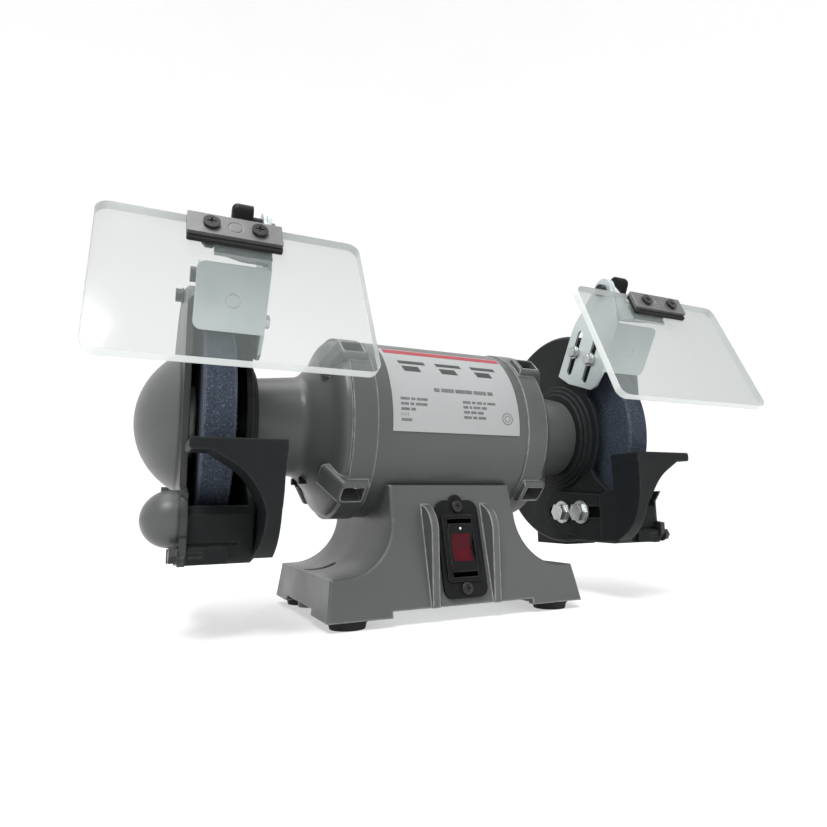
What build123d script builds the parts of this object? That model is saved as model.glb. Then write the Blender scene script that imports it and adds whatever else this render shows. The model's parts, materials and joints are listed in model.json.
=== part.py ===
from build123d import *
import math
import os

os.makedirs("parts", exist_ok=True)

# Millimetres. X runs along the motor axis, Y points to the back, Z up; z = 0 is the underside of the base.
AXIS_H = 129.0
EAR_ANGLES = (45, 135, 225, 315)

# Base casting
FOOT_HALF = 97.0
FOOT_TOP = 25.5
ARC_X = 85.0
ARC_Z = 61.0
ARC_R = 35.5
BASE_TOP = 84.5
BASE_TOP_HALF = 48.5
FRONT_Y = -74.0
FRONT_TOP_Y = -55.5
BACK_Y = 70.0
BACK_TOP_Y = 54.0
WALL = 6.0
PAD_H = 4.0
SLOT_X = 80.0
SLOT_LENGTH = 24.0
SLOT_WIDTH = 9.0
LEAN = math.degrees(math.atan2(FRONT_TOP_Y - FRONT_Y, BASE_TOP))
FEET = ((-79, -58), (79, -58), (-79, 54), (79, 54))
PLATE_SCREWS = ((-49, -57), (49, -57), (-49, 48), (49, 48))
MOUNT_BOLTS = ((-34, 0), (34, 0))
CORD_X = 30.0
CORD_Z = 34.0

# Motor
SHELL_R = 67.0
SHELL_IN = 63.0
EAR_R = 72.5
EAR_WIDTH = 19.0
POCKET_IN = 66.0
POCKET_OUT = 81.0
SHELL_HALF = 60.5
BAND_END = 77.8
NECK_END = 134.2
BOLT_CIRCLE = 60.2
BEARING_IN = 110.0
BEARING_OUT = 122.0
BEARING_R = 20.0
GUARD_SCREW_R = 26.0
GUARD_SCREW_ANGLES = (90, 210, 330)
NAMEPLATE_X = (-50.0, 52.5)
NAMEPLATE_ANGLES = (124.0, 187.5)

# Shaft and wheels
SHAFT_CORE_R = 10.0
SHAFT_SEAT_R = 8.5
SHAFT_END_R = 6.35
SHOULDER = 148.7
SHAFT_END = 191.0
WHEEL_R = 76.2
WHEEL_IN = 153.5
WHEEL_OUT = 172.5
BLOTTER = 0.8
FLANGE_R = 25.0

# Guards and covers
GUARD_R = 92.5
GUARD_WALL = 4.2
GUARD_FACE = 140.0
GUARD_RIM = 144.0
COVER_IN = 178.5
COVER_OUT = 182.5
GUARD_FLOOR = -91.0
GUARD_FRONT = -72.0
HUB_HOLE_R = 14.0
DOME_R = 54.7
DOME_X = 154.4
DOME_T = 3.5
SMALL_DOME_X = 186.4
SMALL_DOME = (-60.0, -64.5)
SMALL_DOME_R = 16.5
COVER_SCREWS = ((62, 56), (70, -46), (-12, 86), (50, -68))
FRONT_SCREWS = ((-52, -86.0), (-72.5, -84.5))

# Tool rests
REST_BOLTS = ((-11.3, -66.2), (-34.9, -66.2))
REST_FRONT = -106.0
REST_BACK = -79.0
REST_TOP = -21.5
TABLE_T = 6.5

# Spark deflectors: u runs from the motor axis up and forward, w forward and down
SLANT_Y = -0.5
SLANT_Z = math.sqrt(0.75)
DEFLECTOR_BOLTS = ((79.5, -6.0), (79.5, 15.5))
SLOT_U = 78.5
HINGE = (135.9, 4.7)
SPARK_SCREW = (104.0, 17.5)
RING_DEPTH = 0.35
PLATE_OUT = (0, -SLANT_Z, SLANT_Y)

# Eye shields: s runs up the shield, n out of its front face
SHIELD_TILT = 24.0
CLAMP_Y = -107.0
CLAMP_Z = 96.8
BAR_T = 2.5
STRIP_T = 2.5
SHIELD_T = 5.5
FLANGE_T = 2.0
SHIELD_X = 159.5
SHIELD_W = 146.0
SHIELD_TOP = 9.5
SHIELD_BOTTOM = -89.5
BAR_X = (135.6, 187.7)
CLAMP_SCREWS = (148.8, 175.0)

# Rocker switch, measured up the leaning front face
SWITCH_MID = 41.5
SWITCH_LENGTH = 66.5
SWITCH_WIDTH = 33.0
SWITCH_SCREWS = (70.0, 14.4)
PIVOT_DEPTH = -5.0

TURN_TO_X = (0, 90, 0)
FROM_START = (Align.CENTER, Align.CENTER, Align.MIN)
MOTOR_AXIS = Axis((0, 0, AXIS_H), (1, 0, 0))
LEAN_OUT = (0, -math.cos(math.radians(LEAN)), math.sin(math.radians(LEAN)))
FACE = Plane((0, FRONT_Y, 0), x_dir=(1, 0, 0), z_dir=LEAN_OUT)


def side_plane(x):
    """Plane facing +X, its origin on the motor axis; it draws y and z."""
    return Plane((x, 0, AXIS_H), x_dir=(0, 1, 0), z_dir=(1, 0, 0))


def slant_plane(x):
    """Plane facing +X, its origin on the motor axis; it draws the deflector's u and w."""
    return Plane((x, 0, AXIS_H), x_dir=(0, SLANT_Y, SLANT_Z), z_dir=(1, 0, 0))


def axial_plane():
    """Plane through the motor axis; it draws x and radius."""
    return Plane((0, 0, AXIS_H), x_dir=(1, 0, 0), z_dir=(0, -1, 0))


def shield_plane(depth):
    """Plane parallel to the shield, depth behind the clamp bar's front; it draws x and s."""
    tilt = math.radians(SHIELD_TILT)
    normal = (0, -math.cos(tilt), math.sin(tilt))
    origin = (0, CLAMP_Y - depth * normal[1], AXIS_H + CLAMP_Z - depth * normal[2])
    return Plane(origin, x_dir=(1, 0, 0), z_dir=normal)


def shield_point(s, depth):
    """The y and z, from the motor axis, of a point s up the shield and depth behind the bar's front."""
    tilt = math.radians(SHIELD_TILT)
    y = CLAMP_Y + s * math.sin(tilt) + depth * math.cos(tilt)
    z = CLAMP_Z + s * math.cos(tilt) - depth * math.sin(tilt)
    return (y, z)


def slant_point(u, w):
    """The y and z, from the motor axis, of a point given in u and w."""
    return (u * SLANT_Y - w * SLANT_Z, u * SLANT_Z + w * SLANT_Y)


def ear_point(angle, radius=BOLT_CIRCLE):
    """The y and z, from the motor axis, of a point at an angle and radius."""
    return (radius * math.cos(math.radians(angle)), radius * math.sin(math.radians(angle)))


def bar_x(x_start, x_end, radius, place=(0, 0), mode=Mode.ADD):
    """Round bar along X; place is y and z from the motor axis."""
    with Locations(Location((x_start, place[0], AXIS_H + place[1]), TURN_TO_X)):
        Cylinder(radius, x_end - x_start, align=FROM_START, mode=mode)


def hex_x(x_start, x_end, across_flats, place=(0, 0), mode=Mode.ADD):
    """Hexagonal bar along X; place is y and z from the motor axis."""
    with BuildSketch(side_plane(x_start)) as outline:
        with Locations(place):
            RegularPolygon(across_flats / 2, 6, major_radius=False)
    extrude(outline.sketch, amount=x_end - x_start, mode=mode)


def profile_x(x_start, x_end, points, mode=Mode.ADD, plane=side_plane):
    """Prism along X from an outline drawn on the given plane."""
    with BuildSketch(plane(x_start)) as outline:
        with BuildLine():
            Polyline(*points, close=True)
        make_face()
    extrude(outline.sketch, amount=x_end - x_start, mode=mode)


def block(x, y, z, mode=Mode.ADD):
    """Box between pairs of x, y and z, z measured from the underside of the base."""
    with Locations(((x[0] + x[1]) / 2, (y[0] + y[1]) / 2, (z[0] + z[1]) / 2)):
        Box(x[1] - x[0], y[1] - y[0], z[1] - z[0], mode=mode)


def cross_slot(plane, centre, length, width, depth):
    """Cross recess sunk into a screw head, from a plane on its top."""
    with BuildSketch(plane) as cross:
        with Locations(centre):
            Rectangle(length, width)
            Rectangle(width, length)
    extrude(cross.sketch, amount=-depth, mode=Mode.SUBTRACT)


def half_front(points_before, radius, points_after):
    """Front outline of the base, drawn for +X and mirrored."""
    with BuildSketch(Plane.XZ.offset(90)) as outline:
        with BuildLine():
            Polyline(*points_before)
            RadiusArc(points_before[-1], points_after[0], radius)
            Polyline(*points_after)
            mirror(about=Plane.YZ)
        make_face()
    return outline.sketch


# Base casting and what is fixed to it

cavity_arc_r = ARC_R + WALL
cavity_x = 58.0
cavity_roof = 56.0
lean_slope = (FRONT_TOP_Y - FRONT_Y) / BASE_TOP
back_slope = (BACK_TOP_Y - BACK_Y) / BASE_TOP
with BuildPart() as base_cavity:
    arc_low_z = ARC_Z - math.sqrt(cavity_arc_r**2 - (ARC_X - cavity_x) ** 2)
    arc_high_x = ARC_X - math.sqrt(cavity_arc_r**2 - (ARC_Z - cavity_roof) ** 2)
    extrude(
        half_front(
            [(0, -1), (cavity_x, -1), (cavity_x, arc_low_z)],
            cavity_arc_r,
            [(arc_high_x, cavity_roof), (0, cavity_roof)],
        ),
        amount=-180,
    )
    cavity_side = [
        (FRONT_Y + WALL, 0),
        (FRONT_Y + WALL + lean_slope * cavity_roof, cavity_roof),
        (BACK_Y - WALL + back_slope * cavity_roof, cavity_roof),
        (BACK_Y - WALL, 0),
    ]
    with BuildSketch(Plane.YZ.offset(-100)):
        with BuildLine():
            Polyline(*cavity_side, close=True)
        make_face()
    extrude(amount=200, mode=Mode.INTERSECT)

with BuildPart() as base_casting:
    extrude(
        half_front(
            [(0, 0), (FOOT_HALF, 0), (93.6, FOOT_TOP), (ARC_X, FOOT_TOP)],
            ARC_R,
            [(ARC_X - ARC_R, ARC_Z), (BASE_TOP_HALF, BASE_TOP), (0, BASE_TOP)],
        ),
        amount=-180,
    )
    with BuildSketch(Plane.YZ.offset(-100)):
        with BuildLine():
            Polyline((FRONT_Y, 0), (FRONT_TOP_Y, BASE_TOP), (BACK_TOP_Y, BASE_TOP), (BACK_Y, 0), close=True)
        make_face()
    extrude(amount=200, mode=Mode.INTERSECT)
    for face in (base_casting.faces().sort_by(Axis.Y)[0], base_casting.faces().sort_by(Axis.Y)[-1]):
        fillet([edge for edge in face.edges() if edge.center().Z > 1], radius=2)
    add(base_cavity.part, mode=Mode.SUBTRACT)
    # Ribs either side of the switch
    for x in (21.0, -26.3):
        with BuildSketch(Plane.YZ.offset(x)):
            with BuildLine():
                Polyline((-57, 71), (-70, 10), (-70, 2), (-75.2, 2), (-75.2, 52))
                TangentArc((-75.2, 52), (-57, 71), tangent=(0, 1))
            make_face()
        extrude(amount=5.3)
    # Corner pads are left standing round the bench slots
    block((-53.8, 53.8), (-90, 90), (-1, PAD_H), mode=Mode.SUBTRACT)
    block((-110, 110), (-36, 34), (-1, PAD_H), mode=Mode.SUBTRACT)
    with BuildSketch(Plane.XY):
        with Locations((-SLOT_X, 0), (SLOT_X, 0)):
            SlotOverall(SLOT_LENGTH + 8, SLOT_WIDTH + 8)
    extrude(amount=PAD_H + 1)
    with BuildSketch(Plane.XY.offset(-1)):
        with Locations((-SLOT_X, 0), (SLOT_X, 0)):
            SlotOverall(SLOT_LENGTH, SLOT_WIDTH)
    extrude(amount=45, mode=Mode.SUBTRACT)
    # Saddle for the motor shell
    bar_x(-110, 110, SHELL_R, mode=Mode.SUBTRACT)
    # Screw bosses under the roof corners
    with Locations([(x, y, 6.5) for x, y in PLATE_SCREWS]):
        Cylinder(6, 33, align=FROM_START)
    with Locations([(x, y, 5) for x, y in PLATE_SCREWS]):
        Cylinder(1.7, 12, align=FROM_START, mode=Mode.SUBTRACT)
    # Holes for motor bolts, wiring, cord, foot screws and the switch
    with Locations([(x, y, 50) for x, y in MOUNT_BOLTS]):
        Cylinder(4.1, 20, align=FROM_START, mode=Mode.SUBTRACT)
    with Locations((0, 12, 50)):
        Cylinder(6, 20, align=FROM_START, mode=Mode.SUBTRACT)
    with Locations(Location((CORD_X, 50, CORD_Z), (-90, 0, 0))):
        Cylinder(8, 30, align=FROM_START, mode=Mode.SUBTRACT)
    with Locations([(x, y, -1) for x, y in FEET]):
        Cylinder(2.6, 15, align=FROM_START, mode=Mode.SUBTRACT)
    with BuildSketch(FACE.offset(5)):
        with Locations((0, SWITCH_MID)):
            Rectangle(24.5, 42.5)
    extrude(amount=-40, mode=Mode.SUBTRACT)
    with BuildSketch(FACE.offset(5)):
        with Locations([(0, v) for v in SWITCH_SCREWS]):
            Circle(1.7)
    extrude(amount=-13, mode=Mode.SUBTRACT)
base_casting.part.label = "base_casting"
export_step(base_casting.part, "parts/base_casting.step")

with BuildPart() as base_bottom_plate:
    block((-57, 57), (-66, 62), (5, 6.5))
    with Locations([(x, y, 0) for x, y in PLATE_SCREWS]):
        Cylinder(2.2, 20, mode=Mode.SUBTRACT)
    with Locations([(x, 0, 0) for x in (-30, -18, -6, 6, 18, 30)]):
        Box(4, 50, 20, mode=Mode.SUBTRACT)
base_bottom_plate.part.label = "base_bottom_plate"
export_step(base_bottom_plate.part, "parts/base_bottom_plate.step")

with BuildPart() as base_plate_screws:
    with Locations([(x, y, 2.6) for x, y in PLATE_SCREWS]):
        Cylinder(3.6, 2.4, align=FROM_START)
        Cylinder(1.7, 14, align=FROM_START)
        Box(5, 1, 1.6, mode=Mode.SUBTRACT)
base_plate_screws.part.label = "base_plate_screws"
export_step(base_plate_screws.part, "parts/base_plate_screws.step")

with BuildPart() as rubber_feet:
    with Locations([(x, y, 0) for x, y in FEET]):
        Cone(11.5, 13, 6, align=(Align.CENTER, Align.CENTER, Align.MAX))
        Cylinder(5.5, 6, align=(Align.CENTER, Align.CENTER, Align.MAX), mode=Mode.SUBTRACT)
        Cylinder(13, 2, align=(Align.CENTER, Align.CENTER, Align.MAX))
        Cylinder(2.6, 30, mode=Mode.SUBTRACT)
rubber_feet.part.label = "rubber_feet"
export_step(rubber_feet.part, "parts/rubber_feet.step")

with BuildPart() as foot_screws:
    with Locations([(x, y, -2) for x, y in FEET]):
        Cylinder(4.5, 2.5, align=(Align.CENTER, Align.CENTER, Align.MAX))
        Cylinder(2.6, 14, align=FROM_START)
        with Locations((0, 0, -2.5)):
            Box(6, 1.2, 2, mode=Mode.SUBTRACT)
foot_screws.part.label = "foot_screws"
export_step(foot_screws.part, "parts/foot_screws.step")

with BuildPart() as cord_gland:
    gland_y = BACK_Y + back_slope * CORD_Z
    with Locations(Location((CORD_X, gland_y - 12, CORD_Z), (-90, 0, 0))):
        Cylinder(8, 26, align=FROM_START)
    with Locations(Location((CORD_X, gland_y + 3, CORD_Z), (-90, 0, 0))):
        Cone(11, 7.5, 20, align=FROM_START)
    with Locations(Location((CORD_X, gland_y - 12, CORD_Z), (-90, 0, 0))):
        Cylinder(11, 4, align=FROM_START)
    with Locations(Location((CORD_X, gland_y - 20, CORD_Z), (-90, 0, 0))):
        Cylinder(5.5, 25, align=FROM_START, mode=Mode.SUBTRACT)
        Cylinder(4, 60, align=FROM_START, mode=Mode.SUBTRACT)
cord_gland.part.label = "cord_gland"
export_step(cord_gland.part, "parts/cord_gland.step")

with BuildPart() as capacitor:
    with Locations(Location((-32, 22, 30), TURN_TO_X)):
        Cylinder(15, 60, align=FROM_START)
    fillet(capacitor.edges(), radius=1.5)
    with Locations(Location((28, 18, 30), TURN_TO_X), Location((28, 26, 30), TURN_TO_X)):
        Cylinder(2, 6, align=FROM_START)
capacitor.part.label = "capacitor"
export_step(capacitor.part, "parts/capacitor.step")

with BuildPart() as capacitor_strap:
    with BuildSketch(Plane.YZ.offset(-12)):
        with Locations((22, 30)):
            Circle(16.5)
        with Locations((22, 43)):
            Rectangle(33, 26)
        with Locations((22, 30)):
            Circle(15, mode=Mode.SUBTRACT)
        with Locations((22, 43)):
            Rectangle(30, 26, mode=Mode.SUBTRACT)
    extrude(amount=16)
    block((-12, 4), (5.5, 38.5), (54.5, 56))
capacitor_strap.part.label = "capacitor_strap"
export_step(capacitor_strap.part, "parts/capacitor_strap.step")

with BuildPart() as switch_plate:
    with BuildSketch(FACE):
        with Locations((0, SWITCH_MID)):
            RectangleRounded(SWITCH_WIDTH, SWITCH_LENGTH, 7)
        with Locations((0, SWITCH_MID + SWITCH_LENGTH / 2 - 1)):
            Circle(5)
        with Locations((0, SWITCH_MID)):
            Rectangle(24.5, 42.5, mode=Mode.SUBTRACT)
        with Locations([(0, v) for v in SWITCH_SCREWS]):
            Circle(1.7, mode=Mode.SUBTRACT)
    extrude(amount=2.5)
switch_plate.part.label = "switch_plate"
export_step(switch_plate.part, "parts/switch_plate.step")

with BuildPart() as switch_screws:
    with BuildSketch(FACE.offset(2.5)):
        with Locations([(0, v) for v in SWITCH_SCREWS]):
            Circle(4.2)
    extrude(amount=2.2)
    fillet([edge for edge in switch_screws.edges() if FACE.to_local_coords(edge.center()).Z > 4.6], radius=0.8)
    with BuildSketch(FACE.offset(2.5)):
        with Locations([(0, v) for v in SWITCH_SCREWS]):
            Circle(1.7)
    extrude(amount=-9)
    for v in SWITCH_SCREWS:
        cross_slot(FACE.offset(4.7), (0, v), 4.6, 1.1, 1.4)
switch_screws.part.label = "switch_screws"
export_step(switch_screws.part, "parts/switch_screws.step")

# The rocker's outline is drawn in v and n from its pivot; its front is a shallow V.
ROCKER_PLANE = Plane(
    FACE.from_local_coords((0, SWITCH_MID, PIVOT_DEPTH)), x_dir=FACE.y_dir, z_dir=(1, 0, 0)
)
LENS_OUTLINE = ((-9.2, 8.73), (0, 6.8), (9.5, 8.79), (9.5, 5.49), (0, 3.5), (-9.2, 5.43))
LENS_HALF = 7.2
PIVOT_R = 1.2

with BuildPart() as switch_housing:
    with BuildSketch(FACE.offset(-28)):
        with Locations((0, SWITCH_MID)):
            Rectangle(24.5, 42.5)
    extrude(amount=32)
    with BuildSketch(FACE.offset(2.5)):
        with Locations((0, SWITCH_MID)):
            RectangleRounded(27, 45, 2)
    extrude(amount=1.5)
    with BuildSketch(FACE.offset(-14)):
        with Locations((0, SWITCH_MID)):
            Rectangle(19.6, 39.4)
    extrude(amount=30, mode=Mode.SUBTRACT)
    with BuildSketch(FACE.offset(-28)):
        with Locations([(x, SWITCH_MID + v) for x in (-6, 6) for v in (-12, 0, 12)]):
            Rectangle(0.8, 6)
    extrude(amount=-8)
    with BuildSketch(ROCKER_PLANE):
        Circle(PIVOT_R)
    extrude(amount=10.5, both=True)
switch_housing.part.label = "switch_housing"
export_step(switch_housing.part, "parts/switch_housing.step")

def rocker_prism(half_width, points, mode=Mode.ADD):
    """Prism across the rocker from an outline in v and n."""
    with BuildSketch(ROCKER_PLANE) as outline:
        with BuildLine():
            Polyline(*points, close=True)
        make_face()
    extrude(outline.sketch, amount=half_width, both=True, mode=mode)


with BuildPart() as switch_rocker:
    rocker_prism(9.3, ((-16.2, 9.9), (0, 6.5), (16.2, 9.9), (18.3, 2), (14, -2), (-14, -2), (-18.3, 2)))
    rocker_prism(LENS_HALF, LENS_OUTLINE, mode=Mode.SUBTRACT)
    with BuildSketch(ROCKER_PLANE):
        Circle(PIVOT_R + 0.15)
    extrude(amount=12, both=True, mode=Mode.SUBTRACT)
switch_rocker.part.label = "switch_rocker"
export_step(switch_rocker.part, "parts/switch_rocker.step")

with BuildPart() as rocker_lens:
    rocker_prism(LENS_HALF, LENS_OUTLINE)
rocker_lens.part.label = "rocker_lens"
export_step(rocker_lens.part, "parts/rocker_lens.step")

# Motor

with BuildPart() as motor_shell:
    bar_x(-SHELL_HALF, SHELL_HALF, SHELL_R)
    bar_x(-SHELL_HALF, SHELL_HALF, SHELL_IN, mode=Mode.SUBTRACT)
    with Locations([(x, y, 60) for x, y in MOUNT_BOLTS]):
        Cylinder(4, 10, mode=Mode.SUBTRACT)
    with Locations((0, 12, 62)):
        Cylinder(6, 20, mode=Mode.SUBTRACT)
motor_shell.part.label = "motor_shell"
export_step(motor_shell.part, "parts/motor_shell.step")

with BuildPart() as motor_mount_bolts:
    with Locations([(x, y, cavity_roof) for x, y in MOUNT_BOLTS]):
        Cylinder(4, 9, align=FROM_START)
        Cylinder(9, 1.6, align=(Align.CENTER, Align.CENTER, Align.MAX))
    with BuildSketch(Plane.XY.offset(cavity_roof - 1.6)):
        with Locations(MOUNT_BOLTS):
            RegularPolygon(6.5, 6, major_radius=False)
    extrude(amount=-5.3)
motor_mount_bolts.part.label = "motor_mount_bolts"
export_step(motor_mount_bolts.part, "parts/motor_mount_bolts.step")

plate_low, plate_high = NAMEPLATE_ANGLES
with BuildPart() as nameplate:
    with BuildSketch(side_plane(NAMEPLATE_X[0])):
        with BuildLine():
            CenterArc((0, 0), SHELL_R, plate_low, plate_high - plate_low)
            CenterArc((0, 0), SHELL_R + 0.5, plate_low, plate_high - plate_low)
            Line(ear_point(plate_low, SHELL_R), ear_point(plate_low, SHELL_R + 0.5))
            Line(ear_point(plate_high, SHELL_R), ear_point(plate_high, SHELL_R + 0.5))
        make_face()
    extrude(amount=NAMEPLATE_X[1] - NAMEPLATE_X[0])
nameplate.part.label = "nameplate"
export_step(nameplate.part, "parts/nameplate.step")

STATOR_HALF = 30.0
COIL_SLOTS = 24
with BuildPart() as stator_core:
    bar_x(-STATOR_HALF, STATOR_HALF, SHELL_IN)
    bar_x(-STATOR_HALF, STATOR_HALF, 36.5, mode=Mode.SUBTRACT)
    with BuildSketch(side_plane(-STATOR_HALF)):
        with PolarLocations(46, COIL_SLOTS, start_angle=7.5):
            Rectangle(16, 5)
        with PolarLocations(BOLT_CIRCLE + 1, 4, start_angle=45):
            Rectangle(8, 6)
    extrude(amount=2 * STATOR_HALF, mode=Mode.SUBTRACT)
stator_core.part.label = "stator_core"
export_step(stator_core.part, "parts/stator_core.step")

with BuildPart() as stator_windings:
    with BuildSketch(side_plane(-47)):
        with PolarLocations(47, COIL_SLOTS, start_angle=7.5):
            Rectangle(11, 4.4)
    extrude(amount=94)
    for x in (-48, 31):
        with BuildSketch(side_plane(x)):
            Circle(54)
            Circle(40, mode=Mode.SUBTRACT)
        extrude(amount=17)
stator_windings.part.label = "stator_windings"
export_step(stator_windings.part, "parts/stator_windings.step")

with BuildPart() as ear_block:
    with BuildSketch(Plane.XY):
        with BuildLine():
            Polyline((63, 52), (63, EAR_R), (82, EAR_R), (93, 52), close=True)
        make_face()
    extrude(amount=EAR_WIDTH / 2, both=True)
    fillet([edge for edge in ear_block.edges() if edge.center().Y > 53 and edge.center().X > 66], radius=3.5)
bell_ear = ear_block.part

with BuildPart() as pocket_block:
    with Locations(((POCKET_IN + POCKET_OUT) / 2, 66, 0)):
        Box(POCKET_OUT - POCKET_IN, 24, 12.5)
    fillet(pocket_block.edges().filter_by(Axis.Y).group_by(Axis.X)[-1], radius=2.5)
ear_pocket = pocket_block.part

with BuildPart() as end_bell_right:
    with BuildSketch(axial_plane()):
        with BuildLine():
            Polyline((BEARING_IN, 29), (BEARING_IN, BEARING_R), (BEARING_OUT + 1.4, BEARING_R),
                     (BEARING_OUT + 1.4, 11), (NECK_END, 11), (NECK_END, 33.4), (105, 36.5))
            Spline((105, 36.5), (96.2, 42.1), (87.1, 53.8), (83.6, 61.9), (BAND_END, 65.6),
                   tangents=((-1, 0.1), (-1, 0.12)))
            Polyline((BAND_END, 65.6), (BAND_END, 68), (SHELL_HALF, 68), (SHELL_HALF, SHELL_IN - 0.1),
                     (56, SHELL_IN - 0.1), (56, 58.6), (75, 58.6))
            Spline((75, 58.6), (80.5, 52), (90.5, 37.6), (BEARING_IN, 29), tangents=((1, -0.3), (1, -0.2)))
        make_face()
    revolve(axis=MOTOR_AXIS)
    # Bolt ears at the four corners, sloping down to the neck, each with a pocket for a nut
    for angle in EAR_ANGLES:
        with Locations(Location((0, 0, AXIS_H), (angle, 0, 0))):
            add(bell_ear)
    for angle in EAR_ANGLES:
        with Locations(Location((0, 0, AXIS_H), (angle, 0, 0))):
            add(ear_pocket, mode=Mode.SUBTRACT)
        bar_x(50, 80, 2.6, ear_point(angle), mode=Mode.SUBTRACT)
    for angle in GUARD_SCREW_ANGLES:
        bar_x(124.5, 135, 3, ear_point(angle, GUARD_SCREW_R), mode=Mode.SUBTRACT)
end_bell_right.part.label = "end_bell_right"
export_step(end_bell_right.part, "parts/end_bell_right.step")

with BuildPart() as end_bell_left:
    mirror(end_bell_right.part, about=Plane.YZ)
end_bell_left.part.label = "end_bell_left"
export_step(end_bell_left.part, "parts/end_bell_left.step")

with BuildPart() as through_bolts:
    for angle in EAR_ANGLES:
        bar_x(-POCKET_IN, POCKET_IN + 7.5, 2.5, ear_point(angle))
        hex_x(-POCKET_IN - 4, -POCKET_IN, 9, ear_point(angle))
through_bolts.part.label = "through_bolts"
export_step(through_bolts.part, "parts/through_bolts.step")

with BuildPart() as through_bolt_nuts:
    for angle in EAR_ANGLES:
        hex_x(POCKET_IN, POCKET_IN + 4.5, 9, ear_point(angle))
        bar_x(POCKET_IN, POCKET_IN + 4.5, 2.5, ear_point(angle), mode=Mode.SUBTRACT)
through_bolt_nuts.part.label = "through_bolt_nuts"
export_step(through_bolt_nuts.part, "parts/through_bolt_nuts.step")

BALL_CIRCLE = (BEARING_R + SHAFT_SEAT_R) / 2
with BuildPart() as bearings:
    bar_x(BEARING_IN, BEARING_OUT, BEARING_R)
    bar_x(BEARING_IN, BEARING_OUT, 17, mode=Mode.SUBTRACT)
    bar_x(BEARING_IN, BEARING_OUT, 11.6)
    bar_x(BEARING_IN, BEARING_OUT, SHAFT_SEAT_R + 0.04, mode=Mode.SUBTRACT)
    bar_x(BEARING_IN + 5, BEARING_OUT - 5, 17)
    bar_x(BEARING_IN, BEARING_OUT, SHAFT_SEAT_R + 0.04, mode=Mode.SUBTRACT)
    balls = [ear_point(40 * n, BALL_CIRCLE) for n in range(9)]
    with Locations([(BEARING_IN + 6, y, AXIS_H + z) for y, z in balls]):
        Sphere(2.9)
    mirror(about=Plane.YZ)
bearings.part.label = "bearings"
export_step(bearings.part, "parts/bearings.step")

with BuildPart() as wave_washers:
    for x in (BEARING_OUT, -BEARING_OUT - 1.4):
        bar_x(x, x + 1.4, 19.6)
        bar_x(x, x + 1.4, 15, mode=Mode.SUBTRACT)
wave_washers.part.label = "wave_washers"
export_step(wave_washers.part, "parts/wave_washers.step")

with BuildPart() as start_switch:
    block((-80, -78), (-15, 15), (AXIS_H - 50, AXIS_H - 26))
    block((-78, -73), (-9, 9), (AXIS_H - 44, AXIS_H - 32))
    for y in (-11, 11):
        bar_x(-100, -78, 2.5, (y, -40))
    add(end_bell_left.part, mode=Mode.SUBTRACT)
    block((-99.9, -84), (-20, 20), (AXIS_H - 60, AXIS_H - 46), mode=Mode.SUBTRACT)
start_switch.part.label = "start_switch"
export_step(start_switch.part, "parts/start_switch.step")

# Rotor

with BuildPart() as shaft:
    bar_x(-SHAFT_END, SHAFT_END, SHAFT_END_R)
    bar_x(-SHOULDER, SHOULDER, SHAFT_SEAT_R)
    bar_x(-BEARING_IN + 0.3, BEARING_IN - 0.3, SHAFT_CORE_R)
    chamfer([edge for edge in shaft.edges() if abs(edge.center().X) > SHAFT_END - 0.1], length=1)
shaft.part.label = "shaft"
export_step(shaft.part, "parts/shaft.step")

with BuildPart() as rotor_core:
    bar_x(-STATOR_HALF, STATOR_HALF, 36)
    for x in (-STATOR_HALF - 5, STATOR_HALF):
        bar_x(x, x + 5, 34)
        bar_x(x, x + 5, 24, mode=Mode.SUBTRACT)
    bar_x(-STATOR_HALF, STATOR_HALF, SHAFT_CORE_R, mode=Mode.SUBTRACT)
rotor_core.part.label = "rotor_core"
export_step(rotor_core.part, "parts/rotor_core.step")

with BuildPart() as centrifugal_governor:
    bar_x(-64, -56, 20)
    bar_x(-71, -67, 20)
    bar_x(-67, -64, 14)
    for angle in (0, 180):
        bar_x(-67, -64, 4, ear_point(angle, 16))
    bar_x(-72, -55, SHAFT_CORE_R, mode=Mode.SUBTRACT)
centrifugal_governor.part.label = "centrifugal_governor"
export_step(centrifugal_governor.part, "parts/centrifugal_governor.step")

with BuildPart() as wheel_right:
    bar_x(WHEEL_IN, WHEEL_OUT, WHEEL_R)
    chamfer(wheel_right.edges(), length=1)
    bar_x(WHEEL_IN, WHEEL_OUT, SHAFT_END_R + 0.05, mode=Mode.SUBTRACT)
wheel_right.part.label = "wheel_right"
export_step(wheel_right.part, "parts/wheel_right.step")

with BuildPart() as wheel_left:
    mirror(wheel_right.part, about=Plane.YZ)
wheel_left.part.label = "wheel_left"
export_step(wheel_left.part, "parts/wheel_left.step")

with BuildPart() as wheel_blotters:
    for x in (WHEEL_IN - BLOTTER, WHEEL_OUT, -WHEEL_IN, -WHEEL_OUT - BLOTTER):
        bar_x(x, x + BLOTTER, FLANGE_R + 1)
        bar_x(x, x + BLOTTER, SHAFT_END_R + 0.3, mode=Mode.SUBTRACT)
wheel_blotters.part.label = "wheel_blotters"
export_step(wheel_blotters.part, "parts/wheel_blotters.step")


def wheel_flange(x_face, x_hub):
    """Dished clamping flange between its wheel face and its hub end."""
    step = 1 if x_hub > x_face else -1
    low, high = sorted((x_face, x_hub))
    bar_x(low, high, 16)
    low, high = sorted((x_face, x_face + 2.5 * step))
    bar_x(low, high, FLANGE_R)
    low, high = sorted((x_face, x_face + 1.2 * step))
    bar_x(low, high, 18, mode=Mode.SUBTRACT)
    low, high = sorted((x_face, x_hub))
    bar_x(low, high, SHAFT_END_R + 0.02, mode=Mode.SUBTRACT)


with BuildPart() as inner_flanges:
    wheel_flange(WHEEL_IN - BLOTTER, SHOULDER)
    wheel_flange(-WHEEL_IN + BLOTTER, -SHOULDER)
inner_flanges.part.label = "inner_flanges"
export_step(inner_flanges.part, "parts/inner_flanges.step")

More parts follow.
